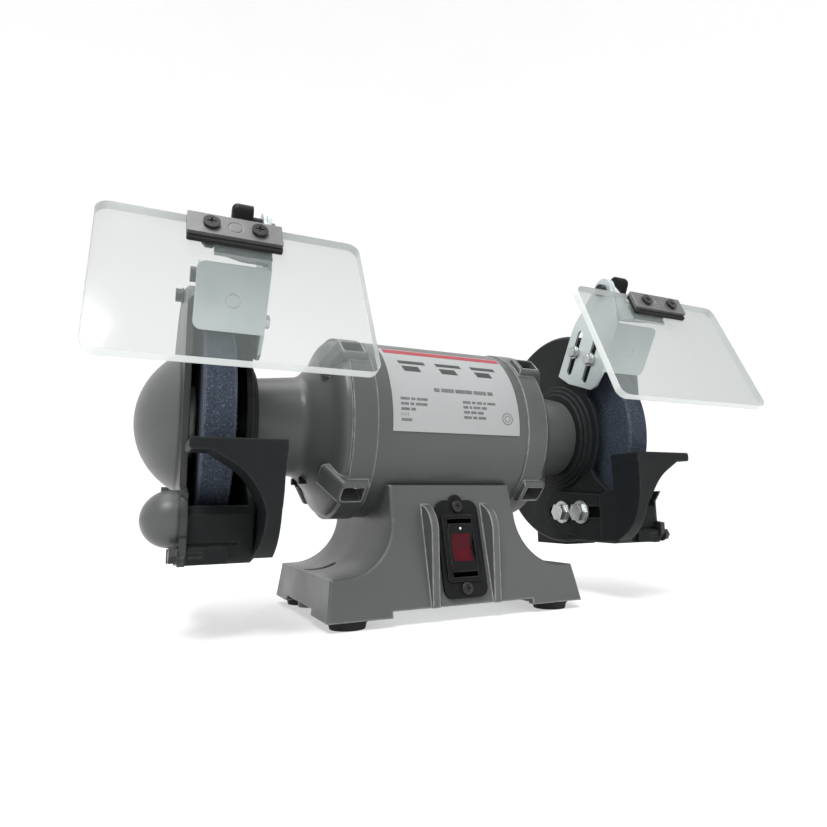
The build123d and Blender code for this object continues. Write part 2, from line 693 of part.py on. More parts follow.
with BuildPart() as outer_flanges:
    wheel_flange(WHEEL_OUT + BLOTTER, 177.3)
    wheel_flange(-WHEEL_OUT - BLOTTER, -177.3)
outer_flanges.part.label = "outer_flanges"
export_step(outer_flanges.part, "parts/outer_flanges.step")

with BuildPart() as spindle_nuts:
    for x in (177.3, -187):
        hex_x(x, x + 9.7, 19)
        bar_x(x, x + 9.7, SHAFT_END_R, mode=Mode.SUBTRACT)
spindle_nuts.part.label = "spindle_nuts"
export_step(spindle_nuts.part, "parts/spindle_nuts.step")

# Wheel guards and outer covers


def guard_outline(inset):
    """Side outline of the guard drum, shrunk by inset, in y and z from the motor axis."""
    radius = GUARD_R - inset
    floor = GUARD_FLOOR + inset
    front = GUARD_FRONT + inset
    corner = 9 - inset / 2
    floor_end = (math.sqrt(radius**2 - floor**2), floor)
    front_end = (front, math.sqrt(radius**2 - front**2))
    with BuildSketch() as outline:
        with BuildLine():
            Line(floor_end, (front + corner, floor))
            CenterArc((front + corner, floor + corner), corner, 270, -90)
            Line((front, floor + corner), front_end)
            ThreePointArc(front_end, (0, radius), floor_end)
        make_face()
    return outline.sketch


def trimmed_drum(x_face, x_end, trim):
    """Solid guard drum between two stations, with the edge of its x_face side trimmed."""
    low, high = sorted((x_face, x_end))
    with BuildPart() as round_part:
        bar_x(low, high, GUARD_R)
        chamfer([edge for edge in round_part.edges() if abs(edge.center().X - x_face) < 0.1], length=trim)
    corner = 9.0
    with BuildPart() as foot:
        with BuildSketch(side_plane(low)):
            with BuildLine():
                Line((16.5, GUARD_FLOOR), (GUARD_FRONT + corner, GUARD_FLOOR))
                CenterArc((GUARD_FRONT + corner, GUARD_FLOOR + corner), corner, 270, -90)
                Polyline((GUARD_FRONT, GUARD_FLOOR + corner), (GUARD_FRONT, -30), (16.5, -30), (16.5, GUARD_FLOOR))
            make_face()
        extrude(amount=high - low)
        front_edges = [edge for edge in foot.edges() if abs(edge.center().X - x_face) < 0.1
                       and (edge.center().Z < AXIS_H + GUARD_FLOOR + 5 or edge.center().Y < GUARD_FRONT + 1)]
        chamfer(front_edges, length=trim)
    return round_part.part + foot.part


def guard_mouth():
    """Opening of the guard towards the user, in y and z from the motor axis."""
    with BuildSketch() as outline:
        with BuildLine():
            Polyline((-41.6, 33.7), (-68.9, 61.8), (-100, 93), (-130, 93), (-130, -64), (-73, -64),
                     (-64, -52), (-47, -38), (-43.3, -31.4))
            ThreePointArc((-43.3, -31.4), (-53.5, 0), (-41.6, 33.7))
        make_face()
    return outline.sketch


with BuildPart() as wheel_guard_right:
    add(trimmed_drum(GUARD_FACE, GUARD_RIM, 2))
    with BuildSketch(side_plane(GUARD_RIM)):
        add(guard_outline(0))
        add(guard_outline(GUARD_WALL), mode=Mode.SUBTRACT)
    extrude(amount=COVER_IN - GUARD_RIM)
    with BuildSketch(side_plane(GUARD_FACE - 1)):
        add(guard_mouth())
    extrude(amount=COVER_IN - GUARD_FACE + 2, mode=Mode.SUBTRACT)
    # Stepped hub against the bell's neck
    bar_x(NECK_END, 136, 39.5)
    bar_x(136, 138, 43)
    bar_x(138, GUARD_FACE, 46.5)
    bar_x(NECK_END - 1, GUARD_RIM + 1, HUB_HOLE_R, mode=Mode.SUBTRACT)
    for angle in GUARD_SCREW_ANGLES:
        bar_x(NECK_END - 1, GUARD_RIM + 1, 3, ear_point(angle, GUARD_SCREW_R), mode=Mode.SUBTRACT)
        bar_x(139.5, GUARD_RIM + 1, 5.2, ear_point(angle, GUARD_SCREW_R), mode=Mode.SUBTRACT)
    # Dust port at the rear of the floor
    block((147, COVER_IN), (1, 44), (AXIS_H - 95, AXIS_H - 80))
    block((151, 174.5), (5, 40), (AXIS_H - 99, AXIS_H - 70), mode=Mode.SUBTRACT)
    # Block and groove at the foot of the front
    block((156, COVER_IN), (GUARD_FRONT - 3, GUARD_FRONT + 4), (AXIS_H - 90, AXIS_H - 81))
    block((150, 182), (GUARD_FRONT - 5, GUARD_FRONT + 1.5), (AXIS_H - 80.2, AXIS_H - 78), mode=Mode.SUBTRACT)
    # Tapped holes for the tool rest, deflector and cover
    for place in REST_BOLTS:
        bar_x(GUARD_FACE - 1, GUARD_RIM + 1, 4, place, mode=Mode.SUBTRACT)
    for u, w in DEFLECTOR_BOLTS:
        bar_x(GUARD_FACE - 1, GUARD_RIM + 1, 2.5, slant_point(u, w), mode=Mode.SUBTRACT)
    for place in COVER_SCREWS:
        bar_x(166, COVER_IN, 5, place)
        bar_x(170, COVER_IN + 1, 2.5, place, mode=Mode.SUBTRACT)
    for place in FRONT_SCREWS:
        bar_x(170, COVER_IN + 1, 2.5, place, mode=Mode.SUBTRACT)
wheel_guard_right.part.label = "wheel_guard_right"
export_step(wheel_guard_right.part, "parts/wheel_guard_right.step")

with BuildPart() as wheel_guard_left:
    mirror(wheel_guard_right.part, about=Plane.YZ)
wheel_guard_left.part.label = "wheel_guard_left"
export_step(wheel_guard_left.part, "parts/wheel_guard_left.step")

with BuildPart() as guard_screws:
    for angle in GUARD_SCREW_ANGLES:
        place = ear_point(angle, GUARD_SCREW_R)
        bar_x(125, 139.5, 3, place)
        bar_x(139.5, 143.5, 5, place)
        hex_x(141.5, 143.5, 5, place, mode=Mode.SUBTRACT)
    mirror(about=Plane.YZ)
guard_screws.part.label = "guard_screws"
export_step(guard_screws.part, "parts/guard_screws.step")

def dome_edge(radius):
    """Radius of the big dome's sphere where it meets the back of the cover."""
    return math.sqrt(radius**2 - (COVER_IN - DOME_X) ** 2)


def dome_mid(radius):
    """A point half-way round the big dome's profile."""
    return (DOME_X + radius * math.cos(math.radians(30)), radius * math.sin(math.radians(30)))


with BuildPart() as outer_cover_right:
    add(trimmed_drum(COVER_OUT, COVER_IN, 2.5))
    block((COVER_IN, COVER_OUT), (-120, -60), (AXIS_H - 50, AXIS_H + 100), mode=Mode.SUBTRACT)
    profile_x(COVER_IN, COVER_OUT, ((-50, -70), (-77, -75), (-77, -84), (-70, -91), (-50, -91)))
    bar_x(COVER_IN, COVER_OUT, dome_edge(DOME_R - DOME_T), mode=Mode.SUBTRACT)
    with BuildSketch(axial_plane()):
        with BuildLine():
            ThreePointArc((COVER_IN, dome_edge(DOME_R)), dome_mid(DOME_R), (DOME_X + DOME_R, 0))
            Line((DOME_X + DOME_R, 0), (DOME_X + DOME_R - DOME_T, 0))
            ThreePointArc((DOME_X + DOME_R - DOME_T, 0), dome_mid(DOME_R - DOME_T),
                          (COVER_IN, dome_edge(DOME_R - DOME_T)))
            Line((COVER_IN, dome_edge(DOME_R - DOME_T)), (COVER_IN, dome_edge(DOME_R)))
        make_face()
    revolve(axis=MOTOR_AXIS)
    for place in COVER_SCREWS + FRONT_SCREWS:
        bar_x(COVER_IN, COVER_OUT, 2.7, place, mode=Mode.SUBTRACT)
outer_cover_right.part.label = "outer_cover_right"
export_step(outer_cover_right.part, "parts/outer_cover_right.step")

# The left cover has a small front dome as well; it is drawn on the right and mirrored
with BuildPart() as cover_with_dome:
    add(outer_cover_right.part)
    bar_x(COVER_IN, COVER_OUT, SMALL_DOME_R + 2, SMALL_DOME)
    bar_x(COVER_IN, COVER_OUT, SMALL_DOME_R - DOME_T, SMALL_DOME, mode=Mode.SUBTRACT)
    with BuildSketch(Plane((0, SMALL_DOME[0], AXIS_H + SMALL_DOME[1]), x_dir=(1, 0, 0), z_dir=(0, -1, 0))):
        with BuildLine():
            Line((COVER_IN, SMALL_DOME_R), (SMALL_DOME_X, SMALL_DOME_R))
            CenterArc((SMALL_DOME_X, 0), SMALL_DOME_R, 90, -90)
            Line((SMALL_DOME_X + SMALL_DOME_R, 0), (SMALL_DOME_X + SMALL_DOME_R - DOME_T, 0))
            CenterArc((SMALL_DOME_X, 0), SMALL_DOME_R - DOME_T, 0, 90)
            Line((SMALL_DOME_X, SMALL_DOME_R - DOME_T), (COVER_IN, SMALL_DOME_R - DOME_T))
            Line((COVER_IN, SMALL_DOME_R - DOME_T), (COVER_IN, SMALL_DOME_R))
        make_face()
    revolve(axis=Axis((0, SMALL_DOME[0], AXIS_H + SMALL_DOME[1]), (1, 0, 0)))
    for place in FRONT_SCREWS:
        bar_x(COVER_IN, COVER_OUT, 2.7, place, mode=Mode.SUBTRACT)

with BuildPart() as outer_cover_left:
    mirror(cover_with_dome.part, about=Plane.YZ)
outer_cover_left.part.label = "outer_cover_left"
export_step(outer_cover_left.part, "parts/outer_cover_left.step")


with BuildPart() as cover_screws:
    for place in COVER_SCREWS + FRONT_SCREWS:
        bar_x(171, COVER_OUT, 2.5, place)
        bar_x(COVER_OUT, COVER_OUT + 1, 5.4, place)
        hex_x(COVER_OUT + 1, COVER_OUT + 5, 8, place)
    mirror(about=Plane.YZ)
cover_screws.part.label = "cover_screws"
export_step(cover_screws.part, "parts/cover_screws.step")

# Tool rests

WEB_FRONT = ((129.5, -24.5), (130.8, -42), (131.3, -58.5), (133.5, -76), (135.6, -84), (137.7, -88.6),
             (144.7, -88.6), (143.3, -86.7), (141.4, -79.6), (140.1, -70.7), (139.9, -61.7))
WEB_CURVE = ((139.9, -61.7), (144.8, -50), (154.7, -37.8), (167, -29.8), (172, -26))
REST_SIDE = ((-104.5, -50), (REST_FRONT, -28), (REST_FRONT, REST_TOP), (-77.8, REST_TOP), (-76.6, -47.5),
             (-60, -52.5), (-7.5, -48.5), (6, -50), (15, -58), (15, -72), (6, -80), (-40, -89),
             (-57.6, -89), (-78, -87.5))
with BuildPart() as tool_rest_right:
    with BuildSketch(Plane.XZ.offset(-REST_FRONT)):
        with BuildLine():
            Polyline((172, AXIS_H - 26), (129.5, AXIS_H - 22), *[(x, AXIS_H + z) for x, z in WEB_FRONT])
            Spline(*[(x, AXIS_H + z) for x, z in WEB_CURVE])
        make_face()
    extrude(amount=-29.4)
    profile_x(131.5, 139.7, ((-106, -21.5), (-60, -21.5), (-60, -89), (-106, -89)))
    profile_x(134.5, 139.7, ((-70, -50), (20, -46), (20, -90), (-70, -90)))
    with BuildSketch(side_plane(120)):
        with BuildLine():
            Polyline(*REST_SIDE)
            Spline((-78, -87.5), (-88, -81.4), (-95.3, -74), (-100.6, -63.6), (-104.5, -50))
        make_face()
    extrude(amount=80, mode=Mode.INTERSECT)
    block((129.5, 181.5), (REST_FRONT, REST_BACK), (AXIS_H + REST_TOP - TABLE_T, AXIS_H + REST_TOP))
    tip = [edge for edge in tool_rest_right.edges().filter_by(Axis.Y) if edge.center().X > 181]
    fillet(tip, radius=2)
    with BuildSketch(side_plane(120)):
        with Locations((-26, -66.2)):
            SlotOverall(68, 9)
    extrude(amount=30, mode=Mode.SUBTRACT)
    block((125, 134.5), (-50, 30), (AXIS_H - 100, AXIS_H - 40), mode=Mode.SUBTRACT)
tool_rest_right.part.label = "tool_rest_right"
export_step(tool_rest_right.part, "parts/tool_rest_right.step")

with BuildPart() as tool_rest_left:
    mirror(tool_rest_right.part, about=Plane.YZ)
tool_rest_left.part.label = "tool_rest_left"
export_step(tool_rest_left.part, "parts/tool_rest_left.step")

with BuildPart() as tool_rest_bolts:
    for place in REST_BOLTS:
        bar_x(132.6, GUARD_RIM, 4, place)
        bar_x(132.6, 134.2, 9.5, place)
        hex_x(127.2, 132.6, 13, place)
    mirror(about=Plane.YZ)
tool_rest_bolts.part.label = "tool_rest_bolts"
export_step(tool_rest_bolts.part, "parts/tool_rest_bolts.step")

# Spark deflectors

FLANGE_OUTLINE = ((53, -18), (51.5, -2), (56, 26), (61, 31), (74.6, 34), (115, 34), (144, 11),
                  (134, -5.2), (104, -16), (97, -17.5))
with BuildPart() as spark_deflector_right:
    profile_x(137.4, 139.7, FLANGE_OUTLINE, plane=slant_plane)
    bar_x(137.4, 139.7, 10, slant_point(*HINGE))
    with BuildSketch(slant_plane(137.4)):
        with Locations((95, 33)):
            Rectangle(41, 2)
    extrude(amount=42.6)
    corners = [edge for edge in spark_deflector_right.edges()
               if edge.center().X > 179 and edge.length < 2.1]
    fillet(corners, radius=5)
    profile_x(175.4, 177.9, ((98, 13), (98, 34), (113, 34), (113, 13)), plane=slant_plane)
    # Pressed ring in the middle of the front plate
    plate_middle = slant_point(94, 34)
    ring_centre = (158, plate_middle[0], AXIS_H + plate_middle[1])
    with BuildSketch(Plane(ring_centre, x_dir=(1, 0, 0), z_dir=PLATE_OUT)):
        Circle(4.6)
        Circle(3.8, mode=Mode.SUBTRACT)
    extrude(amount=-RING_DEPTH, mode=Mode.SUBTRACT)
    bar_x(170, 180, 2.5, slant_point(*SPARK_SCREW), mode=Mode.SUBTRACT)
    with BuildSketch(slant_plane(136)):
        with Locations([(SLOT_U, w) for u, w in DEFLECTOR_BOLTS]):
            SlotOverall(40, 6.6)
        with Locations(HINGE):
            Circle(2.5)
    extrude(amount=6, mode=Mode.SUBTRACT)
spark_deflector_right.part.label = "spark_deflector_right"
export_step(spark_deflector_right.part, "parts/spark_deflector_right.step")

with BuildPart() as spark_deflector_left:
    mirror(spark_deflector_right.part, about=Plane.YZ)
spark_deflector_left.part.label = "spark_deflector_left"
export_step(spark_deflector_left.part, "parts/spark_deflector_left.step")


def deflector_screw_set():
    """Black side screw and hinge screw of the right deflector."""
    place = slant_point(*SPARK_SCREW)
    bar_x(171, 177.9, 2.5, place)
    bar_x(177.9, 182.4, 4.7, place)
    hex_x(171.5, 175.4, 8, place)
    place = slant_point(*HINGE)
    bar_x(133.9, 137.4, 5, place)
    bar_x(136, 158, 2.5, place)
    cross_slot(side_plane(133.9), place, 5, 1.2, -1.6)


with BuildPart() as deflector_screws_right:
    deflector_screw_set()
deflector_screws_right.part.label = "deflector_screws_right"
export_step(deflector_screws_right.part, "parts/deflector_screws_right.step")

with BuildPart() as deflector_screws_left:
    mirror(deflector_screws_right.part, about=Plane.YZ)
deflector_screws_left.part.label = "deflector_screws_left"
export_step(deflector_screws_left.part, "parts/deflector_screws_left.step")

with BuildPart() as deflector_bolts:
    for u, w in DEFLECTOR_BOLTS:
        place = slant_point(u, w)
        bar_x(136, GUARD_RIM, 2.5, place)
        bar_x(136, 137.1, 5.6, place)
        hex_x(132, 136, 8, place)
    mirror(about=Plane.YZ)
deflector_bolts.part.label = "deflector_bolts"
export_step(deflector_bolts.part, "parts/deflector_bolts.step")

# Eye shields

BAR_MID = (BAR_X[0] + BAR_X[1]) / 2
BAR_W = BAR_X[1] - BAR_X[0]
STRIP_BACK = BAR_T + STRIP_T
SHIELD_BACK = STRIP_BACK + SHIELD_T
HINGE_YZ = slant_point(*HINGE)


def shield_sheet(depth, thickness, x_mid, width, s_low, s_high, corner):
    """Flat sheet parallel to the shield with both clamp screw holes through it."""
    with BuildSketch(shield_plane(depth)) as sheet:
        with Locations((x_mid, (s_low + s_high) / 2)):
            RectangleRounded(width, s_high - s_low, corner)
        with Locations([(x, 0) for x in CLAMP_SCREWS]):
            Circle(2.2, mode=Mode.SUBTRACT)
    extrude(sheet.sketch, amount=-thickness)


with BuildPart() as eye_shield_right:
    shield_sheet(STRIP_BACK, SHIELD_T, SHIELD_X, SHIELD_W, SHIELD_BOTTOM, SHIELD_TOP, 7)
eye_shield_right.part.label = "eye_shield_right"
export_step(eye_shield_right.part, "parts/eye_shield_right.step")

with BuildPart() as rubber_strip_right:
    shield_sheet(BAR_T, STRIP_T, BAR_MID, BAR_W, -10.5, 6.5, 1)
rubber_strip_right.part.label = "rubber_strip_right"
export_step(rubber_strip_right.part, "parts/rubber_strip_right.step")

with BuildPart() as clamp_bar_right:
    shield_sheet(0, BAR_T, BAR_MID, BAR_W, -7.7, 7.7, 0.6)
    with BuildSketch(shield_plane(RING_DEPTH)):
        with Locations((162, 0)):
            Circle(4.2)
            Circle(3.4, mode=Mode.SUBTRACT)
    extrude(amount=1, mode=Mode.SUBTRACT)
clamp_bar_right.part.label = "clamp_bar_right"
export_step(clamp_bar_right.part, "parts/clamp_bar_right.step")

with BuildPart() as clamp_screws_right:
    with BuildSketch(shield_plane(0)):
        with Locations([(x, 0) for x in CLAMP_SCREWS]):
            Circle(4.6)
    extrude(amount=2)
    with BuildSketch(shield_plane(0)):
        with Locations([(x, 0) for x in CLAMP_SCREWS]):
            Circle(2.2)
    extrude(amount=-(SHIELD_BACK + FLANGE_T + 3))
    with BuildSketch(shield_plane(SHIELD_BACK + FLANGE_T)):
        with Locations([(x, 0) for x in CLAMP_SCREWS]):
            RegularPolygon(3.5, 6, major_radius=False)
    extrude(amount=-2.4)
    for x in CLAMP_SCREWS:
        cross_slot(shield_plane(-2), (x, 0), 5, 1.2, 1.3)
clamp_screws_right.part.label = "clamp_screws_right"
export_step(clamp_screws_right.part, "parts/clamp_screws_right.step")

flange_low = shield_point(-11, SHIELD_BACK)
flange_low_back = shield_point(-11, SHIELD_BACK + FLANGE_T)
tab_back = (-80.0, 90.0)
TAB_X = 172.6
with BuildPart() as shield_bracket_right:
    shield_sheet(SHIELD_BACK, FLANGE_T, 161, 40, -11, 6.5, 1)
    # Sloping tab below, narrowing towards the hinge side
    profile_x(140, 181, (flange_low, (tab_back[0], tab_back[1] - 2), tab_back,
                         (flange_low_back[0], flange_low_back[1] + 2)))
    with BuildSketch(Plane.XY.offset(AXIS_H + 70)):
        with BuildLine():
            Polyline((151, -77), (TAB_X, flange_low_back[0]), (200, flange_low_back[0]), (200, -77), close=True)
        make_face()
    extrude(amount=40, mode=Mode.SUBTRACT)
    with BuildSketch(shield_plane(0)):
        with Locations((TAB_X, -11)):
            Rectangle(20, 4.5, align=(Align.MIN, Align.MIN))
    extrude(amount=-20, mode=Mode.SUBTRACT)
    profile_x(140, 142, (flange_low, shield_point(6.5, SHIELD_BACK), (HINGE_YZ[0] - 5, HINGE_YZ[1] + 8),
                         (HINGE_YZ[0] + 9.5, HINGE_YZ[1] - 2), (tab_back[0] + 2, tab_back[1] - 2)))
    bar_x(140, 142, 10, HINGE_YZ)
    bar_x(139, 150, 2.6, HINGE_YZ, mode=Mode.SUBTRACT)
    with BuildSketch(shield_plane(0)) as through:
        with Locations([(x, 0) for x in CLAMP_SCREWS]):
            Circle(2.2)
    extrude(amount=-20, mode=Mode.SUBTRACT)
shield_bracket_right.part.label = "shield_bracket_right"
export_step(shield_bracket_right.part, "parts/shield_bracket_right.step")

with BuildPart() as shield_knob_right:
    bar_x(142.3, 152, 6.5, HINGE_YZ)
    with BuildSketch(side_plane(148)):
        with Locations(HINGE_YZ):
            with Locations(Location((0, 0, 0), (0, 0, 115))):
                SlotOverall(26, 10.5)
    extrude(amount=12.5)
    fillet(shield_knob_right.faces().sort_by(Axis.X)[-1].edges(), radius=3.5)
    bar_x(142, 161, 2.53, HINGE_YZ, mode=Mode.SUBTRACT)
shield_knob_right.part.label = "shield_knob_right"
export_step(shield_knob_right.part, "parts/shield_knob_right.step")

for name, right in (
    ("eye_shield_left", eye_shield_right),
    ("rubber_strip_left", rubber_strip_right),
    ("clamp_bar_left", clamp_bar_right),
    ("clamp_screws_left", clamp_screws_right),
    ("shield_bracket_left", shield_bracket_right),
    ("shield_knob_left", shield_knob_right),
):
    with BuildPart() as left:
        mirror(right.part, about=Plane.YZ)
    left.part.label = name
    export_step(left.part, f"parts/{name}.step")
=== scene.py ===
"""Looks of a bench grinder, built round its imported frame. Metres, in the frame's own axes."""

import json
import math
from itertools import cycle

import bpy
from mathutils import Matrix, Vector


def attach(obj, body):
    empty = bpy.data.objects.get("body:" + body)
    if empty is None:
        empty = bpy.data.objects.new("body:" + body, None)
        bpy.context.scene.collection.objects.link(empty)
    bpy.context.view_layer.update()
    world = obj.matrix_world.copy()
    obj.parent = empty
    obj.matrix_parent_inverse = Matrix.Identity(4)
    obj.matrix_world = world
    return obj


MM = 0.001
AXIS_Z = 0.129
FLOOR_Z = -0.006
COVER_FACE = 0.1832
COVER_BLEND = 0.0012
COVERS = ("outer_cover_left", "outer_cover_right")
FACE_LEAN = math.atan2(18.5, 84.5)
SHIELD_TILT_DEG = 24.0
SHARP_DEG = 28

# Camera
LENS_MM = 25.8
SENSOR_MM = 36.0
YAW = math.radians(25.08)
PITCH = math.radians(8.82)
ROLL = math.radians(-0.81)
EYE = Vector((-0.2056, -0.4320, 0.0702))

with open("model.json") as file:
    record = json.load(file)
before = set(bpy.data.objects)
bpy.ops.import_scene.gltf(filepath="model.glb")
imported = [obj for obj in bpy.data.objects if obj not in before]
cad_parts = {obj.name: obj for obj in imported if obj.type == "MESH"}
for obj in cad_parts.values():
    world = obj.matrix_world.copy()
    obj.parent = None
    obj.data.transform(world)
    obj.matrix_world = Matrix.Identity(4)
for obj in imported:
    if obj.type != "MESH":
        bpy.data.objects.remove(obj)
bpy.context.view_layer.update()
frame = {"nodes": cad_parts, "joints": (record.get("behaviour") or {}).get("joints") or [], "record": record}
nodes = frame["nodes"]


# Shader helpers

# Sockets of a mix node, for colours and for plain values
MIX_FACTOR = 0
COLOUR_FIRST = 6
COLOUR_SECOND = 7
COLOUR_RESULT = 2
VALUE_FIRST = 2
VALUE_SECOND = 3

# Parts of the noise, from 0 to 1, over which each effect comes in
BLOTCH_SPAN = (0.35, 0.65)
EDGE_PATCH_SPAN = (0.3, 0.6)
ROUGH_SPAN = (0.3, 0.7)

# Values of a ramp that goes up or down in full
RISE = (0.0, 1.0)
FALL = (1.0, 0.0)

# Edges made lighter, partly as rubbed wear and partly as a painted highlight: cosines of the lean of the
# rounded normal on flats and on sharp edges
EDGE_COSINES = (0.985, 0.86)
EDGE_PATCH_SCALE = 160.0
EDGE_PATCH_RANGE = (0.35, 1.0)
BEVEL_SAMPLES = 4

ROUGH_PER_BLOTCH = 3
GRAIN_DETAIL = 3.0


def add_node(tree, kind, **values):
    """A shader node with some of its inputs set by name."""
    node = tree.nodes.new(kind)
    for key, value in values.items():
        node.inputs[key].default_value = value
    return node


def feed(tree, value, socket):
    """Links a socket to another one, or sets it to a plain value."""
    if hasattr(value, "links"):
        tree.links.new(value, socket)
    else:
        socket.default_value = value


def calculate(tree, kind, operation, *values):
    """A math node with its inputs fed in turn."""
    node = tree.nodes.new(kind)
    node.operation = operation
    for socket, value in zip(node.inputs, values):
        feed(tree, value, socket)
    return node


def noise(tree, scale, detail=4.0, distortion=0.0):
    """Noise over the object's own coordinates; scale is in features per metre."""
    place = tree.nodes.new("ShaderNodeTexCoord")
    node = add_node(
        tree, "ShaderNodeTexNoise", Scale=scale, Detail=detail, Roughness=0.55, Distortion=distortion
    )
    tree.links.new(place.outputs["Object"], node.inputs["Vector"])
    return node.outputs["Fac"]


def ramp(tree, source, span, values):
    """Maps source from the ends of span on to the two values, held at both ends."""
    node = tree.nodes.new("ShaderNodeMapRange")
    for key, value in zip(("From Min", "From Max", "To Min", "To Max"), (*span, *values)):
        node.inputs[key].default_value = value
    tree.links.new(source, node.inputs["Value"])
    return node.outputs["Result"]


def mix_colour(tree, factor, first, second):
    """Mix of two colours, each a tuple or a socket."""
    node = tree.nodes.new("ShaderNodeMix")
    node.data_type = "RGBA"
    feed(tree, factor, node.inputs[MIX_FACTOR])
    for number, colour in ((COLOUR_FIRST, first), (COLOUR_SECOND, second)):
        if isinstance(colour, tuple):
            colour = (*colour, 1.0)
        feed(tree, colour, node.inputs[number])
    return node.outputs[COLOUR_RESULT]


def edge_mask(tree, rounded):
    """One on sharp edges and nought on flats, from how far the rounded normal leans off the true one."""
    geometry = tree.nodes.new("ShaderNodeNewGeometry")
    dot = calculate(tree, "ShaderNodeVectorMath", "DOT_PRODUCT", rounded, geometry.outputs["Normal"])
    return ramp(tree, dot.outputs["Value"], EDGE_COSINES, RISE)


def surface(name, colour, accent, roughness, metallic=0.0, blotch=25.0, grain=1200.0, grain_depth=0.05,
            edge_wear_and_highlight_colour=None, edge_radius=0.0009, edge_wear_and_highlight_strength=0.6, spread=0.12, specular=0.5):
    """A varied, slightly worn surface: blotches of accent, fine grain, and rounded edges that can be made
    lighter, partly as rubbed wear and partly as a painted highlight. grain_depth is in millimetres,
    edge_radius in metres."""
    material = bpy.data.materials.new(name)
    material.use_nodes = True
    tree = material.node_tree
    shader = tree.nodes["Principled BSDF"]
    shader.inputs["Metallic"].default_value = metallic
    shader.inputs["Specular IOR Level"].default_value = specular
    base = mix_colour(tree, ramp(tree, noise(tree, blotch), BLOTCH_SPAN, RISE), colour, accent)
    rounded = add_node(tree, "ShaderNodeBevel", Radius=edge_radius)
    rounded.samples = BEVEL_SAMPLES
    # Lighter sharp edges: rubbed wear mixed with a painted highlight, broken up by noise patches
    if edge_wear_and_highlight_colour is not None:
        mask = edge_mask(tree, rounded.outputs["Normal"])
        patches = ramp(tree, noise(tree, EDGE_PATCH_SCALE), EDGE_PATCH_SPAN, EDGE_PATCH_RANGE)
        wear_and_highlight = calculate(tree, "ShaderNodeMath", "MULTIPLY", mask, patches)
        strength = calculate(tree, "ShaderNodeMath", "MULTIPLY", wear_and_highlight.outputs[0], edge_wear_and_highlight_strength)
        base = mix_colour(tree, strength.outputs[0], base, edge_wear_and_highlight_colour)
    tree.links.new(base, shader.inputs["Base Color"])
    rough_range = (roughness - spread / 2, roughness + spread / 2)
    rough = ramp(tree, noise(tree, blotch * ROUGH_PER_BLOTCH), ROUGH_SPAN, rough_range)
    tree.links.new(rough, shader.inputs["Roughness"])
    bump = add_node(tree, "ShaderNodeBump", Strength=1.0, Distance=grain_depth * MM)
    tree.links.new(noise(tree, grain, GRAIN_DETAIL), bump.inputs["Height"])
    tree.links.new(rounded.outputs["Normal"], bump.inputs["Normal"])
    tree.links.new(bump.outputs["Normal"], shader.inputs["Normal"])
    return material


def recolour(material, make_colour):
    """Replaces a material's base colour by what make_colour returns for its tree and present colour."""
    tree = material.node_tree
    base = tree.nodes["Principled BSDF"].inputs["Base Color"]
    tree.links.new(make_colour(tree, base.links[0].from_socket), base)
    return material


# Finishes

GREY_PAINT = dict(colour=(0.060, 0.063, 0.062), accent=(0.071, 0.074, 0.073), roughness=0.36,
                  blotch=9.0, grain=700.0, grain_depth=0.10, specular=0.36)
PLATE_GREY = (0.022, 0.024, 0.024)

# Grains of the wheels: their colours, where in the noise they come in, and how strong they get
SPECKLE_DETAIL = 2.0
LIGHT_GRAIN = (0.12, 0.145, 0.185)
LIGHT_SCALE = 950.0
LIGHT_SPAN = (0.55, 0.72)
LIGHT_STRENGTH = (0.0, 0.75)
DARK_GRAIN = (0.011, 0.015, 0.023)
DARK_SCALE = 620.0
DARK_SPAN = (0.52, 0.68)
DARK_STRENGTH = (0.0, 0.7)

# Shield sheet: its colours, and how opaque its faces and sawn edges are
SHEET_FACE = (0.20, 0.225, 0.22)
SHEET_EDGE = (0.60, 0.63, 0.62)
SHEET_EDGE_ALPHA = 0.85
SHEET_FACE_ALPHA = (0.17, 0.42)
SLANT_SPAN = (0.25, 0.6)
SAWN_SPAN = (0.5, 0.95)


def speckle(tree, base):
    """Light and dark grains over the colour of the grit."""
    light = ramp(tree, noise(tree, LIGHT_SCALE, SPECKLE_DETAIL), LIGHT_SPAN, LIGHT_STRENGTH)
    dark = ramp(tree, noise(tree, DARK_SCALE, SPECKLE_DETAIL, distortion=0.4), DARK_SPAN, DARK_STRENGTH)
    return mix_colour(tree, dark, mix_colour(tree, light, base, LIGHT_GRAIN), DARK_GRAIN)


def abrasive():
    """Blue-grey vitrified grit with light and dark grains, its edges made lighter as a painted highlight
    where light catches the chamfer.
    """
    grit = surface(
        "abrasive", (0.026, 0.035, 0.052), (0.037, 0.048, 0.068), 0.85, grain=900.0, grain_depth=0.35,
        edge_wear_and_highlight_colour=(0.24, 0.27, 0.31), edge_radius=0.0014, edge_wear_and_highlight_strength=0.75, specular=0.25,
    )
    return recolour(grit, speckle)


